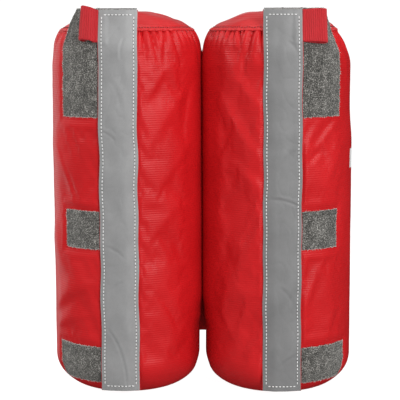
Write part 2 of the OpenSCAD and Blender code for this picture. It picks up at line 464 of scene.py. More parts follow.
def sleeve_grid(side):
    """The sleeve's plain shape, how far it stands out, its outward directions, and how firmly it is held."""
    outline = side_outline()
    angle = np.linspace(-math.pi, math.pi, 405, endpoint=False)[None, :]
    radius = outline[:, :1]
    height = outline[:, 1:2]
    free = smoothstep((height - 0.006) / 0.030) * (outline[:, 2:3] > 0.5)
    # The noise is read round a circle, so that it joins up behind the tube.
    slack = soft_noise(np.cos(angle) * 1.3, np.sin(angle) * 1.3 + height * 9, side.seed + 1)
    ripple = soft_noise(np.cos(angle) * 4 + height * 11, np.sin(angle) * 4 + height * 17, side.seed + 2)
    # The two tubes press towards each other, apart from their rounder lower corners.
    facing = bump_between(angle, math.radians(78), math.radians(102), math.radians(22))
    flattest = 0.0034
    press = flattest * bump_between(height, 0.13, 0.455, 0.025)
    press = press - flattest * bump_between(height, 0.03, 0.08, 0.02)
    # The gathers need room below the lid, so the side swells less there.
    swell = 1 - smoothstep((height - seam_z + 0.050) / 0.028)
    # The fill pulls the fabric tight at the tube's two sides.
    tight = bump_between(np.abs(angle), math.radians(62), math.radians(104), math.radians(18))
    lively = 1 - 0.75 * tight
    proud = (lively * (0.0010 * slack + 0.00025 * ripple) + 0.0018) * swell + press * facing
    if side.name == "right":
        # Below the slumped shoulder the side is flatter.
        proud = proud - 0.0028 * outer_side(angle, 30) * bump_between(height, 0.39, 0.47, 0.06)
    proud = proud - crease_field(side, angle, height) - gather_field(side, angle, height)
    proud = proud * free * (1 - under_cover(angle, height))
    # Close to the lid the side follows the seam.
    at_seam = smoothstep((height - (seam_z - 0.004)) / 0.004)
    proud = proud * (1 - at_seam) - at_seam * free * 0.7 * gather_field(side, angle, seam_z + 0 * height)
    normal = away(side, angle, outline[:, 2:3])
    normal[..., 2] = outline[:, 3:]
    held = np.maximum(under_cover(angle, height), 1 - free)
    held = np.maximum(held, smoothstep((height - (seam_z - 0.006)) / 0.004))
    held = np.maximum(held, 0.6 * tight)
    return place(side, angle, radius, height), proud, normal, held


def coarser(values):
    """Every third row and column of a grid, with the last row kept."""
    rows = np.unique(np.append(np.arange(0, values.shape[0], 3), values.shape[0] - 1))
    return values[rows][:, ::3], rows


def finer(values, rows, all_rows):
    """Values on the coarser grid, spread back over all the rows and columns."""
    columns = np.arange(3 * values.shape[1]) / 3
    around = np.arange(values.shape[1] + 1)
    closed = np.concatenate([values, values[:, :1]], axis=1)
    wide = np.array([np.interp(columns, around, row) for row in closed])
    return np.array([np.interp(np.arange(all_rows), rows, column) for column in wide.T]).T


def settle(points, held, frames):
    """How far the fabric moves as it settles under the fill's pressure, found on a coarser copy."""
    coarse, rows = coarser(points)
    grip = coarser(held)[0].ravel()
    copy = make_object("settling_sleeve", *closed_strip(coarse))
    group = copy.vertex_groups.new(name="held")
    for number in np.nonzero(grip > 0.001)[0]:
        group.add([int(number)], float(grip[number]), "REPLACE")
    cloth = copy.modifiers.new("settle", "CLOTH")
    settings = cloth.settings
    settings.quality = 5
    settings.mass = 0.15
    settings.tension_stiffness = 20
    settings.compression_stiffness = 20
    settings.shear_stiffness = 8
    settings.bending_stiffness = 0.4
    settings.tension_damping = 8
    settings.compression_damping = 8
    settings.shear_damping = 8
    settings.use_pressure = True
    settings.uniform_pressure_force = 1.2
    settings.shrink_min = -0.008
    settings.effector_weights.gravity = 0
    settings.vertex_group_mass = group.name
    settings.pin_stiffness = 5
    cloth.point_cache.frame_start = 1
    cloth.point_cache.frame_end = frames
    scene = bpy.context.scene
    for number in range(1, frames + 1):
        scene.frame_set(number)
    settled = copy.evaluated_get(bpy.context.evaluated_depsgraph_get())
    after = np.array([v.co for v in settled.data.vertices]).reshape(coarse.shape)
    scene.frame_set(1)
    bpy.data.objects.remove(copy)
    move = after - coarse
    return np.stack([finer(move[..., k], rows, points.shape[0]) for k in range(3)], axis=-1)


# ---- Materials ----

def node(tree, kind, inputs=None, **settings):
    """Adds a shader node. An input is given as a value, or as the output to link it to."""
    made = tree.nodes.new(kind)
    for name, value in settings.items():
        setattr(made, name, value)
    for name, value in (inputs or {}).items():
        if isinstance(value, bpy.types.NodeSocket):
            tree.links.new(value, made.inputs[name])
        else:
            made.inputs[name].default_value = value
    return made


def start_material(name, **sockets):
    """A material's node tree, its shader with the sockets set, and the object's own coordinates."""
    material = bpy.data.materials.new(name)
    material.use_nodes = True
    tree = material.node_tree
    shader = tree.nodes["Principled BSDF"]
    for socket, value in sockets.items():
        shader.inputs[socket.replace("_", " ")].default_value = value
    where = node(tree, "ShaderNodeTexCoord").outputs["Object"]
    return material, tree, shader, where


def ramp(tree, factor, stops):
    """A colour ramp, given as (position, colour) pairs."""
    made = node(tree, "ShaderNodeValToRGB", {"Fac": factor})
    elements = made.color_ramp.elements
    while len(elements) < len(stops):
        elements.new(0.5)
    for element, (position, colour) in zip(elements, stops):
        element.position = position
        element.color = (*colour, 1)
    return made.outputs["Color"]


def paint(tree, shader, factor, stops):
    """Colours a shader by a ramp."""
    tree.links.new(ramp(tree, factor, stops), shader.inputs["Base Color"])


def maths(tree, operation, first, second=0.0, third=0.0):
    made = node(tree, "ShaderNodeMath", operation=operation)
    for socket, value in zip(made.inputs, (first, second, third)):
        if isinstance(value, bpy.types.NodeSocket):
            tree.links.new(value, socket)
        else:
            socket.default_value = value
    return made.outputs[0]


def noise(tree, where, scale, detail=3.0, roughness=0.55):
    settings = {"Vector": where, "Scale": scale, "Detail": detail, "Roughness": roughness}
    return node(tree, "ShaderNodeTexNoise", settings).outputs["Fac"]


def bands(tree, where, scale, direction="Z", **more):
    """Bands of light and dark. More inputs are given as Distortion=0.4 and so on."""
    inputs = {"Vector": where, "Scale": scale}
    inputs.update({name.replace("_", " "): value for name, value in more.items()})
    return node(tree, "ShaderNodeTexWave", inputs, bands_direction=direction).outputs["Fac"]


def bump(tree, shader, height, distance, strength=1.0, under=None):
    """Bumps on a shader, distance high where the height is 1."""
    inputs = {"Height": height, "Distance": distance, "Strength": strength}
    if under is not None:
        inputs["Normal"] = under
    made = node(tree, "ShaderNodeBump", inputs)
    tree.links.new(made.outputs["Normal"], shader.inputs["Normal"])
    return made.outputs["Normal"]


def red_nylon(name, sheen=0.006, printed_bar=False):
    """Coated nylon with fine ribs round the tube, and optionally a plain white bar on the right tube."""
    material, tree, shader, where = start_material(
        name, Roughness=0.42, IOR=1.45, Specular_IOR_Level=0.27, Sheen_Weight=sheen, Sheen_Roughness=0.4
    )
    cloudy = noise(tree, where, 14, 4)
    colour = ramp(tree, cloudy, [(0.30, (0.500, 0.0062, 0.0086)), (0.72, (0.585, 0.0092, 0.0124))])
    if printed_bar:
        axes = node(tree, "ShaderNodeSeparateXYZ", {"Vector": where}).outputs
        mask = maths(tree, "GREATER_THAN", axes["X"], tube_x)
        for axis, middle, half in (("Z", 0.3135, 0.013), ("Y", 0.028, 0.054)):
            mask = maths(tree, "MULTIPLY", mask, maths(tree, "COMPARE", axes[axis], middle, half))
        blend = node(tree, "ShaderNodeMix", data_type="RGBA")
        tree.links.new(mask, blend.inputs[0])
        tree.links.new(colour, blend.inputs[6])
        blend.inputs[7].default_value = (0.80, 0.79, 0.78, 1)
        colour = blend.outputs[2]
    tree.links.new(colour, shader.inputs["Base Color"])
    rib_pitch = 0.0029
    scale = math.pi / 10 / rib_pitch
    ribs = bands(tree, where, scale, Distortion=0.6, Detail=2.0, Detail_Scale=0.35)
    gloss = maths(tree, "MULTIPLY_ADD", ribs, -0.12, 0.45)
    gloss = maths(tree, "MULTIPLY_ADD", cloudy, 0.08, gloss)
    tree.links.new(gloss, shader.inputs["Roughness"])
    rough = bump(tree, shader, noise(tree, where, 900, 2), 0.00006)
    bump(tree, shader, ribs, 0.00016, under=rough)
    return material


def reflective_tape(name, dark, light):
    material, tree, shader, where = start_material(name, Metallic=0.15, IOR=1.5)
    wear = noise(tree, where, 30, 5, 0.6)
    beads = noise(tree, where, 1600, 2)
    mixed = maths(tree, "MULTIPLY_ADD", beads, 0.35, maths(tree, "MULTIPLY", wear, 0.65))
    paint(tree, shader, mixed, [(0.3, (dark, dark, dark)), (0.7, (light, light, light))])
    tree.links.new(maths(tree, "MULTIPLY_ADD", wear, 0.2, 0.48), shader.inputs["Roughness"])
    fine = bump(tree, shader, bands(tree, where, 420.0, Distortion=0.4), 0.00003)
    bump(tree, shader, beads, 0.00005, under=fine)
    return material


def loop_tape():
    """Grey loop tape: a mottled pile."""
    material, tree, shader, where = start_material(
        "loop_tape", Roughness=0.95, Specular_IOR_Level=0.15, Sheen_Weight=0.35,
        Sheen_Roughness=0.6, Sheen_Tint=(0.8, 0.8, 0.76, 1)
    )
    tufts = noise(tree, where, 760, 2, 0.6)
    patches = noise(tree, where, 90, 2)
    mixed = maths(tree, "MULTIPLY_ADD", tufts, 0.8, maths(tree, "MULTIPLY", patches, 0.2))
    dark = (0.010, 0.010, 0.009)
    middle = (0.088, 0.084, 0.076)
    light = (0.440, 0.425, 0.395)
    paint(tree, shader, mixed, [(0.36, dark), (0.52, middle), (0.66, light)])
    bump(tree, shader, tufts, 0.0012)
    return material


def hook_tape():
    """Grey hook tape: rows of small stiff hooks."""
    material, tree, shader, where = start_material("hook_tape", Roughness=0.7)
    cells = {"Vector": where, "Scale": 900.0, "Randomness": 0.35}
    hooks = node(tree, "ShaderNodeTexVoronoi", cells).outputs["Distance"]
    paint(tree, shader, hooks, [(0.1, (0.46, 0.455, 0.44)), (0.6, (0.15, 0.147, 0.140))])
    bump(tree, shader, maths(tree, "SUBTRACT", 1.0, hooks), 0.0006)
    return material


def red_webbing():
    material, tree, shader, where = start_material(
        "red_webbing", Roughness=0.7, Specular_IOR_Level=0.3, Sheen_Weight=0.15,
        Sheen_Tint=(1.0, 0.5, 0.5, 1)
    )
    yarn = maths(tree, "MULTIPLY", bands(tree, where, 300.0, Distortion=1.0), 0.5)
    mixed = maths(tree, "MULTIPLY_ADD", noise(tree, where, 700, 2), 0.5, yarn)
    paint(tree, shader, mixed, [(0.25, (0.36, 0.007, 0.012)), (0.75, (0.58, 0.017, 0.025))])
    bump(tree, shader, mixed, 0.00012)
    return material


def thread(name, dark, light):
    material, tree, shader, where = start_material(name, Roughness=0.6)
    twist = bands(tree, where, 500.0, "DIAGONAL")
    paint(tree, shader, twist, [(0.2, dark), (0.8, light)])
    bump(tree, shader, twist, 0.0001)
    return material


def liner_film():
    material, tree, shader, where = start_material(
        "liner_film", Roughness=0.3, Transmission_Weight=0.4, IOR=1.4
    )
    crinkle = noise(tree, where, 60, 5, 0.6)
    paint(tree, shader, crinkle, [(0.3, (0.62, 0.63, 0.62)), (0.7, (0.80, 0.80, 0.78))])
    bump(tree, shader, crinkle, 0.002)
    return material


def tie_plastic():
    material, tree, shader, where = start_material("tie_plastic", Roughness=0.4)
    grain = noise(tree, where, 800, 2)
    paint(tree, shader, grain, [(0.3, (0.012, 0.012, 0.013)), (0.7, (0.03, 0.03, 0.031))])
    bump(tree, shader, grain, 0.00005)
    return material


def dry_sand():
    material, tree, shader, where = start_material("sand", Roughness=0.95)
    cells = {"Vector": where, "Scale": 1400.0}
    grains = node(tree, "ShaderNodeTexVoronoi", cells).outputs["Distance"]
    grains = maths(tree, "MULTIPLY", grains, 0.5)
    mixed = maths(tree, "MULTIPLY_ADD", noise(tree, where, 500, 3, 0.7), 0.6, grains)
    stops = [(0.25, (0.25, 0.17, 0.09)), (0.6, (0.48, 0.36, 0.21)), (0.9, (0.66, 0.56, 0.40))]
    paint(tree, shader, mixed, stops)
    bump(tree, shader, mixed, 0.0006)
    return material


nylon = red_nylon("red_nylon")
lid_nylon = red_nylon("red_nylon_lid", sheen=0.16)
printed_nylon = red_nylon("red_nylon_printed", printed_bar=True)
# One tape in two copies: the left tube's is painted lighter and the right tube's darker, as painted light and
# shade.
tapes_with_painted_shading = {
    "left": reflective_tape("reflective_tape_left", 0.245, 0.335),
    "right": reflective_tape("reflective_tape_right", 0.178, 0.250),
}
pile = loop_tape()
hooks_look = hook_tape()
webbing = red_webbing()
white_thread = thread("white_thread", (0.70, 0.70, 0.69), (0.95, 0.95, 0.94))
grey_thread = thread("grey_thread", (0.45, 0.44, 0.42), (0.85, 0.84, 0.80))
# Dark thread for the real stitches round the loop patches, and also for the painted shade in the tape's
# needle holes.
dark_thread_and_hole_shade = thread("dark_thread_and_hole_shade", (0.045, 0.044, 0.040), (0.150, 0.145, 0.130))
red_thread = thread("red_thread", (0.07, 0.003, 0.004), (0.17, 0.006, 0.008))
film = liner_film()
tie_look = tie_plastic()
sand_look = dry_sand()


def finish_piece(piece, look, body=None, replaces=()):
    piece.data.materials.append(look)
    if body:
        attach(piece, body)
    if replaces:
        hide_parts(*replaces)


def add_piece(side, name, shape, look, body=None, replaces=(), winding=1, crease=35):
    """A finished piece of one tube. Its body and CAD nodes are named without the side.

    The winding is 1 where the faces look outwards on the left tube, -1 where they look inwards
    there, and 0 where they look outwards on both tubes.
    """
    piece = make_object(f"{side.name}_{name}", *shape, side.toward * winding < 0, crease)
    if body:
        body = f"{side.name}_{body}"
    finish_piece(piece, look, body, [f"{side.name}_{cad_node}" for cad_node in replaces])
    return piece


# ---- Sleeve, lid and base ----

def add_sleeve(side):
    """The tube's side as one skin, closed under the lid and over the base."""
    shape, proud, normal, held = sleeve_grid(side)
    move = settle(shape + normal * proud[..., None], held, frames=16)
    gathered = smoothstep((shape[..., 2] - seam_z + 0.035) / 0.02)
    proud = proud + np.sum(move * normal, axis=-1) * (1 - held) * (1 - 0.8 * gathered)
    # The fill keeps the creases shallow, and the stitches keep the fabric from swelling far.
    near_lid = smoothstep((shape[..., 2] - seam_z + 0.036) / 0.012)
    deepest = -0.0020 * (1 - near_lid) - 0.0054 * near_lid
    furthest = 0.0060 * (1 - near_lid) + 0.0024 * near_lid
    limit = np.where(proud < 0, deepest, furthest)
    points = slumped(side, shape + normal * (limit * np.tanh(proud / limit))[..., None])
    look = printed_nylon if side.name == "right" else nylon
    piece = add_piece(side, "sleeve", closed_strip(points), look, "tube", ["body_panel"])


def add_lid(side):
    """The round lid, whose edge laps over the top of the side, and its topstitching."""
    lap = 0.0016
    thick = 0.0010
    stitch_inset = 0.0042
    dome_low_z = lid_low.z + 0.0012
    rise = lid_top_z - dome_low_z
    angle = np.radians(np.arange(0, 360, 1.0))[None, :] - math.pi
    radii = np.concatenate([[0.003], np.linspace(0.02, 0.07, 12), np.linspace(0.073, seam_r, 14)])
    outline = [(r, dome_low_z + rise * (1 - (r / seam_r) ** 2.6)) for r in radii]
    outline += [(seam_r + 0.6 * lap, dome_low_z - 0.5 * lap), (seam_r + lap, dome_low_z - 1.1 * lap)]
    outline = np.array(outline)
    direction = np.gradient(outline, axis=0)
    direction = direction / np.linalg.norm(direction, axis=1, keepdims=True)
    normal = np.stack([-direction[:, 1], direction[:, 0]], axis=1)
    radius = outline[:, :1]
    height = outline[:, 1:]
    from_edge = np.clip(seam_r - radius, 0, None)
    pucker = gather_field(side, angle, seam_z + 0 * height) * np.exp(-(from_edge / 0.006) ** 2)
    slack = soft_noise(radius * np.sin(angle) * 22, radius * np.cos(angle) * 22, side.seed + 3)
    proud = 0.0007 * slack * smoothstep(from_edge / 0.02) - 0.22 * pucker
    # The line of stitches pulls the fabric in.
    proud = proud - 0.0009 * np.exp(-((from_edge - stitch_inset) / 0.0015) ** 2)

    def at(extra):
        out = proud + extra
        raised = height + normal[:, 1:] * out
        return slumped(side, place(side, angle, radius + normal[:, :1] * out, raised))

    ring = np.concatenate([at(0.0), at(-thick)[::-1]])
    cad_nodes = ["top_panel", "top_seam"]
    add_piece(
        side, "lid", closed_strip(ring), lid_nylon, "tube", cad_nodes,
        winding=-1, crease=60
    )

    row = int(np.argmin(np.abs(outline[:, 0] - (seam_r - stitch_inset))))
    path = at(0.0002)[row]
    outward = away(side, angle, normal[row, 0])[0]
    outward[:, 2] = normal[row, 1]
    path = np.concatenate([path, path[:1]])
    outward = np.concatenate([outward, outward[:1]])
    stitches = joined(stitch_row(path, outward, *LID_STITCH))
    add_piece(side, "lid_stitching", stitches, red_thread, "tube", winding=0)


def add_base(side):
    """The round base, let into the rounded corner, with the seam that holds it."""
    rim_r = base_r - 0.0035
    top_z = 0.0014
    angle = np.radians(np.arange(0, 360, 3.0))[None, :] - math.pi
    outline = [(r, 0.0) for r in np.linspace(0.003, rim_r - 0.003, 10)]
    outline += [(rim_r - 0.0012, 0.0001), (rim_r - 0.0003, 0.0004), (rim_r, 0.0009)]
    outline += [(rim_r - 0.0003, top_z)]
    outline += [(r, top_z) for r in np.linspace(rim_r - 0.003, 0.003, 6)]
    outline = np.array(outline)
    points = place(side, angle, outline[:, :1], outline[:, 1:])
    cad_nodes = ["base_panel", "base_seam"]
    add_piece(side, "base", closed_strip(points), nylon, "tube", cad_nodes)


# ---- Loop patches ----

def add_patch(side, name, seed):
    """A patch of loop tape. The top one stands up past the lid, and the bottom one bends under."""
    widest, low_z, high_z = PATCHES[name]
    if low_z is None:
        low_z = corner_r - (corner_r + PATCH[0]) * math.sin(BOTTOM_BEND)
    step = 0.0011
    columns = int(widest * tube_r / step)
    rows = int((high_z - low_z) / step)
    across = np.linspace(PATCH_INNER, -widest, columns)[None, :]
    height = np.linspace(low_z, high_z, rows)[:, None]
    rng = np.random.default_rng(seed)
    # Cut edges wander a little, and are frayed.
    ends = 0.0003 * soft_noise(across * 9, 0 * across, seed)
    ends = ends + 0.00015 * rng.standard_normal((1, columns))
    outer_edge = 0.0004 * soft_noise(height * 40, 0 * height, seed + 1)
    outer_edge = outer_edge + 0.00015 * rng.standard_normal((rows, 1))
    t = (height - low_z) / (high_z - low_z)
    height = height + ends * (1 - 2 * t) * (np.abs(1 - 2 * t) ** 8)
    u = (PATCH_INNER - across) / (PATCH_INNER + widest)
    # The top patch gets narrower towards its free end.
    narrowing = 0.0
    if name == "top":
        narrowing = 0.0085 * smoothstep((height - 0.462) / 0.055)
        narrowing = narrowing + 0.0075 * smoothstep((height - 0.495) / 0.018) ** 2
    angle = across + (outer_edge + narrowing) / tube_r * u ** 6
    near_edge = np.minimum(np.minimum(t, 1 - t) * (high_z - low_z), (1 - u) * widest * tube_r)
    rounded = 0.0004 * (1 - smoothstep(near_edge / 0.0016))
    fuzz = 0.00022 * rng.standard_normal((rows, columns)) - rounded
    curl = 0.5 + 0.5 * soft_noise(angle * 14, height * 60, seed + 2)
    lift = 0.0006 * smoothstep(1 - near_edge / 0.006) * curl

    def at(proud):
        if name == "bottom":
            radius = np.where(height < corner_r, corner_radius(height, proud), tube_r + proud)
        else:
            radius = layer_radius(height, proud)
        return slumped(side, place(side, angle + 0 * height, radius, height + 0 * angle))

    lift = lift * (1 - smoothstep((0.02 - (PATCH_INNER - across) * tube_r) / 0.01))
    inner = at(PATCH[0] + lift)
    outer = at(PATCH[1] + lift + fuzz)
    if name == "top":
        standing = smoothstep((height - seam_z) / 0.006)
        inner = at(PATCH[0] + lift - 0.00015 * standing * np.abs(rng.standard_normal((rows, columns))))
    cad_nodes = [f"{name}_loop_patch"]
    add_piece(
        side, f"{name}_patch", slab(inner, outer), pile, "tube", cad_nodes,
        winding=-1, crease=80
    )

    # Frayed yarn ends stand out of the cut edges, apart from the part behind the flap.
    behind_flap = int(0.034 / step)
    borders = (
        (outer[-1, behind_flap:], outer[-4, behind_flap:] - outer[-1, behind_flap:]),
        (outer[0], outer[3] - outer[0]),
        (outer[:, -1], outer[:, -4] - outer[:, -1]),
    )
    fibres = []
    for line, toward_middle in borders:
        past_edge = -toward_middle / np.linalg.norm(toward_middle, axis=1, keepdims=True)
        for point, direction in zip(line, past_edge):
            for _ in range(3):
                root = point - direction * rng.uniform(0.0003, 0.0010) + rng.normal(0, 0.0002, 3)
                tip = root + (direction + rng.normal(0, 0.5, 3)) * rng.uniform(0.0006, 0.0013)
                fibres.append(fibre(root, tip, 0.00036))
    fringe = joined(fibres)
    add_piece(side, f"{name}_patch_fringe", fringe, grey_thread, "tube", winding=0)

    # A row of dark stitches just inside the edges.
    inset = 5
    path = [outer[inset, ::3], outer[inset:-inset:3, -1 - inset], outer[-1 - inset, ::-3]]
    path = np.concatenate(path)
    middle = np.array([side.x, tube_y, 0.0])
    outward = (path - middle) * np.array([1.0, 1.0, 0.0])
    outward = outward / np.linalg.norm(outward, axis=1, keepdims=True)
    stitches = joined(stitch_row(path, outward, *PATCH_STITCH))
    add_piece(side, f"{name}_patch_stitching", stitches, dark_thread_and_hole_shade, "tube", winding=0)


# ---- Flap ----

def flap_wave(side, height):
    """How far the flap's edges wander sideways."""
    return 0.0005 * soft_noise(height * 12, 0 * height, side.seed + 5)


# Creases in the flap: the place across it and the height of each end, the width, and the depth.
FLAP_CREASES = {
    "left": [
        (-0.016, 0.094, 0.008, 0.022, 0.0016, 0.0011),
        (-0.023, 0.356, -0.004, 0.344, 0.0016, 0.0010),
        (-0.012, 0.468, 0.002, 0.487, 0.0018, 0.0009),
        (0.004, 0.448, 0.009, 0.476, 0.0016, 0.0007),
        (-0.018, 0.205, 0.006, 0.190, 0.0018, 0.0008),
        (-0.014, 0.140, 0.004, 0.158, 0.0022, 0.0007),
        (-0.010, 0.420, 0.004, 0.385, 0.0030, 0.0007),
    ],
    "right": [
        (-0.022, 0.257, 0.018, 0.267, 0.0016, 0.0011),
        (-0.020, 0.452, -0.006, 0.470, 0.0018, 0.0008),
        (-0.018, 0.120, 0.002, 0.150, 0.0024, 0.0008),
        (-0.020, 0.060, 0.000, 0.046, 0.0018, 0.0007),
        (-0.016, 0.330, 0.006, 0.300, 0.0030, 0.0007),
    ],
}


def flap_waves(side, across, height):
    """Soft waves and sharper creases in the flap, fading towards its sewn inner edge."""
    wave = 0.0004 * soft_noise(height * 14 + across * 9, across * 30, side.seed + 6)
    crumple = np.abs(soft_noise(height * 26 - across * 20, across * 34, side.seed + 7))
    wave = wave - 0.00025 * np.exp(-crumple / 0.20)
    for a1, z1, a2, z2, width, deep in FLAP_CREASES[side.name]:
        run = np.array([a2 - a1, z2 - z1])
        along, off = crease_line(across - (a1 + a2) / 2, height - (z1 + z2) / 2, run, 0.08)
        fade = smoothstep((1.2 - np.abs(along)) / 0.4)
        ridge = 0.5 * np.exp(-((off - 2.2 * width) / (1.3 * width)) ** 2)
        wave = wave - 0.55 * deep * fade * (np.exp(-(off / width) ** 2) - ridge)
    most = 0.0014
    return most * np.tanh(wave / most) * smoothstep((0.021 - across) / 0.016)


def flap_lift(side, across, height, layer):
    """How far a layer of the flap stands out: down at its sewn inner edge, with waves elsewhere."""
    down = (BACKING[0] - 0.0007) * smoothstep((across - 0.008) / 0.017)
    over_webbing = bump_between(height, pull_low_z - 0.001, flap_top_z, 0.005)
    over_webbing = over_webbing * smoothstep((-across - 0.011) / 0.006)
    return layer - down + flap_waves(side, across, height) + 0.0010 * over_webbing


def bend_onto_flap(piece, side):
    """Bakes the piece's placing into its mesh. The ends of an 8 mm strip along the flap's inner edge are
    found, but the piece is not folded.
    """
    strip = 0.008
    height = np.array(0.25)
    start = on_flap(side, np.array(flap_w / 2), height, BACKING[1])
    end = on_flap(side, np.array(flap_w / 2 - strip), height, BACKING[1])
    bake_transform(piece)


def flap_sheet(side, name, layer, half_w, look, cad_node):
    """One of the flap's two long sheets."""
    across = np.linspace(-half_w, half_w, 45)[None, :]
    height = np.linspace(flap_low_z, flap_top_z, 360)[:, None]
    wander = flap_wave(side, height)
    from_edge = half_w - np.abs(across)
    edge = 1 - smoothstep(from_edge / 0.0012)
    ends = 1 - inside(height, flap_low_z, flap_top_z, 0.0012)
    soft = 0.00012 * np.maximum(edge, ends)
    groove = 0.00022 * np.exp(-((from_edge - TAPE_STITCH_INSET) / 0.0011) ** 2)
    low = flap_lift(side, across, height, layer[0])
    high = flap_lift(side, across, height, layer[1]) - soft - groove
    inner = on_flap(side, across + wander, height, low)
    outer = on_flap(side, across + wander, height, high)
    piece = add_piece(side, name, slab(inner, outer), look, None, [cad_node], crease=50)
    bend_onto_flap(piece, side)


def add_tape_stitching(side):
    """White lockstitch along the tape's four edges, with a dark bar between stitches as painted shade in each
    needle hole.
    """
    half = flap_w / 2 - TAPE_STITCH_INSET
    low_z = flap_low_z + 0.0065
    high_z = flap_top_z - 0.0065

    def line(across, height):
        across, height = np.broadcast_arrays(np.asarray(across, float), np.asarray(height, float))
        wander = flap_wave(side, height)
        proud = flap_lift(side, across, height, TAPE[1]) - 0.0001
        base = on_flap(side, across + wander, height, proud)
        return base, on_flap(side, across + wander, height, proud + 0.001) - base

    rows = [line(edge, np.linspace(low_z, high_z, 250)) for edge in (-half, half)]
    rows += [line(np.linspace(-half, half, 20), end) for end in (low_z, high_z)]
    stitches = []
    hole_shades = []
    for path, outward in rows:
        stitches += stitch_row(path, outward, *TAPE_STITCH)
        # Dark bars between the stitches, painted shade in the needle holes.
        hole_shades += stitch_row(path, outward, *NEEDLE_HOLE_SHADE, shift=TAPE_STITCH[0] / 2)
    for name, parts, look in (("stitching", stitches, white_thread), ("needle_hole_shade", hole_shades, dark_thread_and_hole_shade)):
        piece = add_piece(side, f"tape_{name}", joined(parts), look, winding=0)
        bend_onto_flap(piece, side)


def add_hooks(side):
    """Hook tape on the back of the flap, over each loop patch, and past the flap's upper edge."""
    inset = 0.002
    top_z = flap_top_z + 0.0022
    heights = [
        (corner_r, PATCHES["bottom"][2] - inset, -0.023),
        (PATCHES["middle"][1] + inset, PATCHES["middle"][2] - inset, -0.023),
        (PATCHES["top"][1] + inset, top_z, -flap_w / 2 + 0.0005),
    ]
    rng = np.random.default_rng(side.seed + 8)

    def small_hooks(across, height):
        return 0.00018 * np.abs(rng.standard_normal((height.size, across.size)))

    parts = []
    for low_z, high_z, outer_edge in heights:
        across = np.linspace(outer_edge, 0, 30)[None, :]
        height = np.linspace(low_z, high_z, int((high_z - low_z) / 0.0012))[:, None]
        hooks = small_hooks(across, height)
        past = smoothstep((height - flap_top_z + 0.003) / 0.003)
        inner = on_flap(side, across, height, HOOK[0] - hooks)
        outer = on_flap(side, across, height, HOOK[1] + 0.0008 * past + past * hooks)
        parts.append(slab(inner, outer))
    # The flap's top edge is faced with the same tape across its whole width.
    across = np.linspace(0.0005, flap_w / 2 - 0.001, 28)[None, :]
    height = np.linspace(flap_top_z - 0.012, top_z, 14)[:, None]
    hooks = small_hooks(across, height)
    down = 0.0012 * smoothstep((across - 0.008) / 0.017)
    inner = on_flap(side, across, height, HOOK[0] - down - hooks)
    outer = on_flap(side, across, height, HOOK[1] - down + hooks)
    parts.append(slab(inner, outer))
    cad_nodes = ["hook_strips"]
    piece = add_piece(side, "hooks", joined(parts), hooks_look, None, cad_nodes, crease=80)
    bend_onto_flap(piece, side)


def add_placket(side):
    """The two hems either side of the slit under the flap, placed in degrees round the tube."""
    parts = []
    for near, far in ((4.2, 7.7), (8.3, 11.8)):
        angle = np.radians(np.linspace(near, far, 8))[None, :]
        height = np.linspace(0.042, shoulder_z, 120)[:, None]
        edge = 1 - inside(angle, math.radians(near), math.radians(far), 0.0007 / tube_r)
        inner = place(side, angle, tube_r - 0.0002, height)
        outer = place(side, angle, tube_r + 0.0006 - 0.0003 * edge, height + 0 * angle)
        parts.append(slab(inner, outer))
    add_piece(side, "placket", joined(parts), nylon, "tube")


# ---- Pull loops ----

def pull_outline(round_r, reach, neck, count):
    """Points and outward directions round the loop, from its sewn neck at 0 out to -reach and back."""
    flat = reach - round_r
    x = -np.linspace(0, flat, 60)
    y = 0.0010 + (round_r - 0.0010) * smoothstep((-x - 0.001) / neck)
    turn = np.linspace(math.pi / 2, 3 * math.pi / 2, 50)[1:-1]
    outline = np.concatenate([
        np.stack([x, y], axis=1),
        np.stack([-flat + round_r * np.cos(turn), round_r * np.sin(turn)], axis=1),
        np.stack([x[::-1], -y[::-1]], axis=1),
    ])
    outline = np.concatenate([outline, outline[:1]])
    gone = np.concatenate([[0], np.cumsum(np.hypot(*np.diff(outline, axis=0).T))])
    where = np.linspace(0, gone[-1], count, endpoint=False)
    path = np.stack([np.interp(where, gone, outline[:, k]) for k in range(2)], axis=1)
    ahead = np.roll(path, -1, axis=0) - np.roll(path, 1, axis=0)
    ahead = ahead / np.linalg.norm(ahead, axis=1, keepdims=True)
    return path, np.stack([ahead[:, 1], -ahead[:, 0]], axis=1), where


PULL_SHAPES = {
    "left": {"round_r": 0.0064, "reach": 0.0208, "neck": 0.008, "droop": -0.0030, "drop": 0.0010},
    "right": {"round_r": 0.0044, "reach": 0.0285, "neck": 0.014, "droop": 0.0006, "drop": 0.0008},
}


def pull_place(side, x, y, up):
    """Points in the pull loop's own axes: out from its fold, ahead, and up along the flap's lean."""
    pivot_across = -flap_w / 2 - 0.0020
    ahead = math.sqrt(float(layer_radius(np.array(pull_low_z), BACKING[1])) ** 2 - (flap_w / 2) ** 2)
    z = pull_low_z + up * math.cos(top_lean) - y * math.sin(top_lean)
    x = pivot_across + x
    y = -ahead + y * math.cos(top_lean) + up * math.sin(top_lean)
    turn = -flap_turn
    world_x = side.x + side.toward * (x * math.cos(turn) - y * math.sin(turn))
    world_y = tube_y + x * math.sin(turn) + y * math.cos(turn)
    return np.stack(np.broadcast_arrays(world_x, world_y, z), axis=-1)


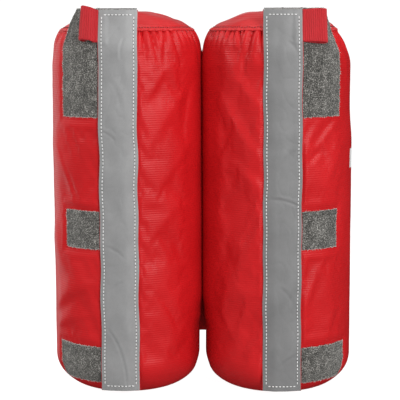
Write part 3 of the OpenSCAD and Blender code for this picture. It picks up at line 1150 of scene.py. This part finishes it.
def add_pull(side):
    """Ribbed webbing, doubled into a loop that sticks out of the flap's outer edge."""
    thick = 0.0013
    rib_pitch = 0.0027
    sizes = PULL_SHAPES[side.name]
    length = sizes["reach"] - sizes["round_r"]
    path, outward, gone = pull_outline(sizes["round_r"], sizes["reach"], sizes["neck"], 330)
    total = gone[-1]
    ribs = 0.0008 * (1 - np.abs(np.cos(math.pi * gone / (total / round(total / rib_pitch)))) ** 5)
    up = np.linspace(0, webbing_w - 0.0015, 40)[:, None]
    far = np.clip(-path[:, 0] / length, 0, 1.3)[None, :]
    wave = 0.0002 * soft_noise(up * 40, far, side.seed + 9) * far
    # The free end hangs straighter than the flap leans.
    upright = -0.13 * (up - webbing_w / 2) * far
    lean = (0.0012 if side.name == "left" else 0.0006) * far * (up / webbing_w - 0.5) * 2
    edge = inside(up, 0, webbing_w, 0.0012)

    def at(extra):
        x = path[:, 0][None, :] + outward[:, 0][None, :] * extra + wave + lean
        y = path[:, 1][None, :] + outward[:, 1][None, :] * extra + upright
        return pull_place(side, x, y, up - sizes["drop"] - sizes["droop"] * far)

    half = thick / 2 - 0.00025 * (1 - edge) + (ribs - 0.0001)[None, :] * edge
    points = np.concatenate([at(half), at(-half)[::-1]])
    rows, columns = points.shape[:2]
    # The last row of points joins the first.
    faces = grid_quads(rows + 1, columns, wrap=True) % (rows * columns)
    shape = (points, faces)
    piece = add_piece(side, "pull_webbing", shape, webbing, None, ["pull_loop"], crease=70)
    start = pull_place(side, -0.0006, 0.0, webbing_w / 2)
    end = pull_place(side, -0.0075, 0.0, webbing_w / 2)
    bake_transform(piece)


def add_pull_tab(side):
    """The webbing's two ends, flattened together and sewn in under the tape."""
    across = np.linspace(-flap_w / 2 - 0.0022, -flap_w / 2 + 0.006, 24)[None, :]
    height = np.linspace(pull_low_z + 0.0008, flap_top_z - 0.0015, 30)[:, None]
    ribs = 0.0001 * np.abs(np.sin(math.pi * across / 0.00145))
    under_tape = smoothstep((across + flap_w / 2 + 0.001) / 0.003)
    proud = BACKING[1] + flap_waves(side, across, height)
    inner = on_flap(side, across, height, proud + 0.0001)
    outer = on_flap(side, across, height, proud + 0.0012 - 0.0005 * under_tape + ribs)
    add_piece(side, "pull_tab", slab(inner, outer), webbing, "flap")


# ---- Web ----

def add_web():
    """A doubled strip of fabric with piping in both edges, sewn to the two tubes."""
    half = (web_high.x - web_low.x) / 2
    middle_y = (web_low.y + web_high.y) / 2
    piping_r = (web_high.y - web_low.y) / 2
    fold_x = half - piping_r
    height = np.linspace(web_low.z, web_high.z, 170)[:, None]
    stitch_x = fold_x - 0.0045
    flat_x = np.linspace(-fold_x + piping_r * 0.8, fold_x - piping_r * 0.8, 50)

    def waves(x, z):
        return 0.0007 * soft_noise(z * 14, x * 30 + 0 * z, 41) * smoothstep((fold_x - np.abs(x)) / 0.012)

    wave = waves(flat_x[None, :], height)
    quilting = 0.0003 * np.exp(-((stitch_x - np.abs(flat_x)) / 0.0012) ** 2)[None, :]
    from_end = np.minimum(height - web_low.z, web_high.z - height)
    thick = 0.0006 + 0.00035 * bump_between(from_end, 0, 0.008, 0.0015)
    thick = thick - 0.0004 * (1 - smoothstep(from_end / 0.0015)) - quilting

    def face_at(y):
        return np.stack(np.broadcast_arrays(flat_x[None, :], y, height), axis=-1)

    back = face_at(middle_y + wave + thick)
    front = face_at(middle_y + wave - thick)

    def pipe(sign):
        turn = np.linspace(-0.6 * math.pi, 0.6 * math.pi, 14) + (0 if sign > 0 else math.pi)
        x = sign * fold_x + piping_r * np.cos(turn)
        y = middle_y + piping_r * np.sin(turn)
        return np.stack(np.broadcast_arrays(x[None, :], y[None, :], height), axis=-1)

    ring = np.concatenate([front, pipe(1), back[:, ::-1], pipe(-1)], axis=1)
    points, faces = closed_strip(ring)
    piece = make_object("web", points, faces, crease=60)
    finish_piece(piece, nylon, "web", ["web_panel"])
    z = np.linspace(web_low.z + 0.004, web_high.z - 0.004, 90)
    parts = []
    for x in (-stitch_x, stitch_x):
        for face in (-1, 1):
            path = np.stack([x + 0 * z, middle_y + waves(x, z) + face * 0.0005, z], axis=1)
            outward = np.zeros_like(path) + (0, face, 0)
            parts += stitch_row(path, outward, *WEB_STITCH)
    stitches = make_object("web_stitching", *joined(parts))
    finish_piece(stitches, red_thread, "web")


def add_web_seam(side):
    """The bound strip that sews the web to the tube, with two rows of stitches."""
    low = WEB_SEAM - WEB_SEAM_HALF
    high = WEB_SEAM + WEB_SEAM_HALF
    angle = np.linspace(low, high, 18)[None, :]
    height = np.linspace(web_low.z, web_high.z, 170)[:, None]
    edge = inside(angle, low, high, 0.0012 / tube_r)
    ends = inside(height, web_low.z, web_high.z, 0.0012)
    ripple = 0.00015 * soft_noise(height * 90, angle * 8, side.seed + 12)
    outer_r = tube_r + 0.0005 + 0.0007 * edge * ends + ripple
    inner = place(side, angle, tube_r - 0.0003, height)
    outer = place(side, angle, outer_r, height)
    add_piece(side, "web_binding", slab(inner, outer), nylon, "tube", ["web_seam"])
    z = np.linspace(web_low.z + 0.003, web_high.z - 0.003, 90)
    parts = []
    for share in (-0.6, 0.6):
        turn = WEB_SEAM + share * WEB_SEAM_HALF + 0 * z
        parts += stitch_row(place(side, turn, tube_r + 0.00125, z), away(side, turn), *WEB_STITCH)
    stitches = joined(parts)
    add_piece(side, "web_binding_stitching", stitches, red_thread, "tube", winding=0)


# ---- Build ----

def recolour(name, look):
    """A CAD node whose shape is kept gets a finished material."""
    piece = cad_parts[name]
    piece.data.materials.clear()
    piece.data.materials.append(look)


for side in SIDES:
    add_sleeve(side)
    add_lid(side)
    add_base(side)
    for number, patch in enumerate(PATCHES):
        add_patch(side, patch, side.seed * 10 + number)
    add_placket(side)
    add_hooks(side)
    flap_sheet(side, "flap_backing", BACKING, flap_w / 2 + 0.0006, nylon, "flap")
    # Each tube's tape copy carries painted light or shade.
    tape_with_painted_shading = tapes_with_painted_shading[side.name]
    flap_sheet(side, "tape", TAPE, flap_w / 2, tape_with_painted_shading, "reflective_tape")
    add_tape_stitching(side)
    add_pull(side)
    add_pull_tab(side)
    add_web_seam(side)
    recolour(f"{side.name}_liner", film)
    recolour(f"{side.name}_liner_tie", tie_look)
    recolour(f"{side.name}_sand", sand_look)
add_web()


# ---- Studio ----

def add_floor():
    """A white floor, bright enough that hardly any shadow shows."""
    material, tree, shader, _ = start_material(
        "floor", Roughness=0.9, Base_Color=(0.25, 0.25, 0.25, 1), Specular_IOR_Level=0.0,
        Emission_Color=(1, 1, 1, 1)
    )
    in_picture = node(tree, "ShaderNodeLightPath").outputs["Is Camera Ray"]
    tree.links.new(maths(tree, "MULTIPLY_ADD", in_picture, 0.62, 0.36), shader.inputs["Emission Strength"])
    size = 6.0
    low = -0.0004
    corners = [(-size, -size, low), (size, -size, low), (size, size, low), (-size, size, low)]
    floor = make_object("floor", corners, [(0, 1, 2, 3)])
    floor.data.materials.append(material)
    floor.visible_glossy = False


def add_softbox(name, bearing, distance, height, width, tall, power, glossy=True, diffuse=True):
    """An area light aimed at the bag. The bearing is in degrees from straight ahead, to the right."""
    data = bpy.data.lights.new(name, "AREA")
    data.shape = "RECTANGLE"
    data.size = width
    data.size_y = tall
    data.energy = power
    lamp = bpy.data.objects.new(name, data)
    turn = math.radians(bearing)
    lamp.location = (distance * math.sin(turn), -distance * math.cos(turn), height)
    target = Vector((0, 0, seam_z / 2))
    lamp.rotation_euler = (target - lamp.location).to_track_quat("-Z", "Y").to_euler()
    lamp.visible_camera = False
    lamp.visible_glossy = glossy
    lamp.visible_diffuse = diffuse
    bpy.context.scene.collection.objects.link(lamp)


def add_world():
    world = bpy.data.worlds.new("studio")
    world.use_nodes = True
    tree = world.node_tree
    background = tree.nodes["Background"]
    background.inputs["Color"].default_value = (1, 1, 1, 1)
    # The backdrop is pure white in the picture, and gives a softer light than that.
    in_picture = node(tree, "ShaderNodeLightPath").outputs["Is Camera Ray"]
    tree.links.new(maths(tree, "MULTIPLY_ADD", in_picture, 0.64, 0.45), background.inputs["Strength"])
    world.cycles_visibility.glossy = False
    bpy.context.scene.world = world


add_floor()
add_world()
add_softbox("key", bearing=25, distance=2.6, height=1.3, width=0.9, tall=1.0, power=43)
add_softbox("fill", bearing=-45, distance=1.3, height=0.6, width=0.5, tall=0.9, power=1.6, glossy=False)
add_softbox("left", bearing=-100, distance=1.3, height=0.5, width=0.5, tall=0.9, power=4.6, glossy=False)
add_softbox("right", bearing=48, distance=1.5, height=0.4, width=0.4, tall=0.9, power=1.7, glossy=False)
add_softbox("sheen", bearing=50, distance=1.5, height=0.9, width=0.5, tall=1.0, power=0.8)
add_softbox("rim", bearing=-126, distance=1.1, height=0.40, width=0.7, tall=1.3, power=3.3)
add_softbox("gloss_left", bearing=-72, distance=1.3, height=1.4, width=0.5, tall=0.5, power=11, diffuse=False)
add_softbox("gloss_right", bearing=62, distance=1.3, height=1.3, width=0.5, tall=0.5, power=7, diffuse=False)
add_softbox("overhead", bearing=0, distance=0.05, height=1.6, width=1.2, tall=1.0, power=9)
bpy.context.scene.view_settings.view_transform = "Standard"
